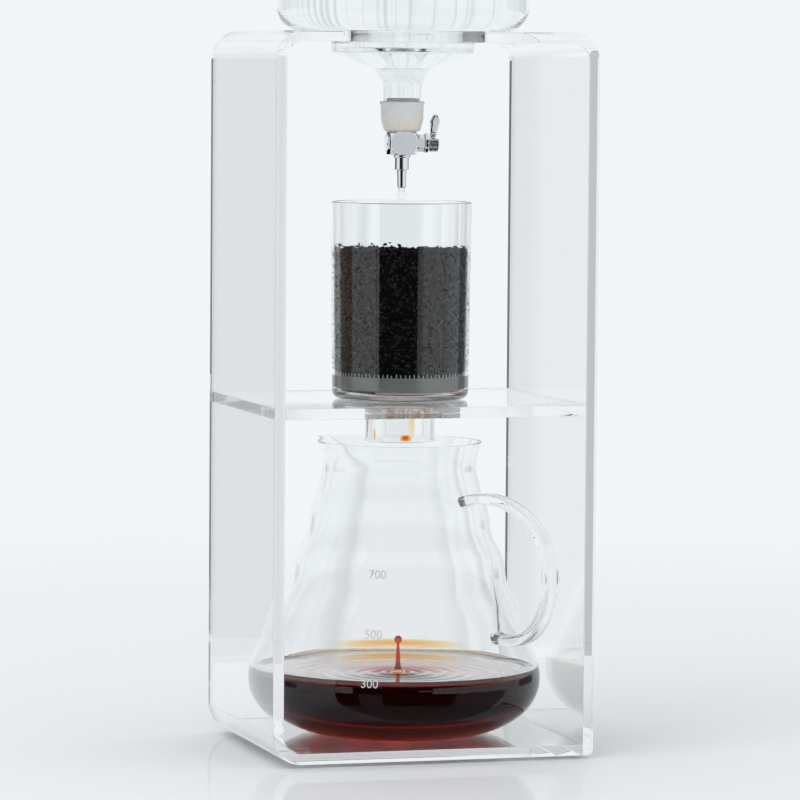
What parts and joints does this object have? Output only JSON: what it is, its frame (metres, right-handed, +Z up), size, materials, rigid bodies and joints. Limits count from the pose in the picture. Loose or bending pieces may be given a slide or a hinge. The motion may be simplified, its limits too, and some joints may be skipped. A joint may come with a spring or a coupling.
{
  "type": "cold drip coffee tower",
  "caption": "Clear acrylic stand that holds a glass water vessel with a drip tap above a glass brew cylinder with a filter, which drains into a glass jug with a handle.",
  "frame": {"origin": "on the table, under the middle of the whole footprint, handle and jug belly included", "axes": "+Z up, -Y to the front, +X to the side that the tap lever is on"},
  "size_m": [0.15, 0.1428, 0.4422],
  "materials": {
    "clear_acrylic": "polished",
    "clear_glass": "polished",
    "silicone": "matt, milky",
    "chrome": "polished plate",
    "steel": "satin",
    "water": "clear liquid",
    "coffee": "dark red-brown liquid",
    "coffee_grounds": "coarse dark grains",
    "print": "pale printed numbers",
    "ptfe": "satin",
    "black_rubber": "matt"
  },
  "bodies": {
    "stand": {"bent_frame": "clear_acrylic", "shelf": "clear_acrylic", "foot_front_left": "clear_acrylic", "foot_front_right": "clear_acrylic", "foot_back_left": "clear_acrylic", "foot_back_right": "clear_acrylic"},
    "reservoir": {"water_vessel": "clear_glass", "neck_bung": "silicone", "inlet_shank": "chrome", "tap_body": "chrome", "end_plug": "chrome", "end_washer": "ptfe", "gland_packing": "ptfe", "gland_nut": "chrome", "outlet_collar": "chrome", "nozzle_tip": "chrome"},
    "lid": {"lid": "clear_acrylic", "lid_knob": "clear_acrylic", "lid_knob_screw": "chrome"},
    "tap_lever": {"valve_spindle": "chrome", "spindle_o_rings": "black_rubber", "lever_hub": "chrome", "hub_screw": "chrome", "lever": "chrome"},
    "brew_cylinder": {"brew_glass": "clear_glass", "filter_gasket": "silicone", "filter_rim": "steel", "filter_mesh": "steel"},
    "server": {"server_jug": "clear_glass", "server_handle": "clear_glass"}
  },
  "joints": [
    {"name": "reservoir_lift", "type": "slide", "parent": "stand", "child": "reservoir", "axis": [0, 0, 1], "range_m": [0, 0.075]},
    {"name": "lid_lift", "type": "slide", "parent": "reservoir", "child": "lid", "axis": [0, 0, 1], "range_m": [0, 0.03]},
    {"name": "lever_turn", "type": "hinge", "parent": "reservoir", "child": "tap_lever", "pos_m": [0, 0.00604, 0.2773], "axis": [0.9945, -0.1045, 0], "range_deg": [0, 90]},
    {"name": "brew_cylinder_lift", "type": "slide", "parent": "stand", "child": "brew_cylinder", "axis": [0, 0, 1], "range_m": [0, 0.0205]},
    {"name": "server_slide", "type": "slide", "parent": "stand", "child": "server", "axis": [0, -1, 0], "range_m": [0, 0.15]}
  ]
}
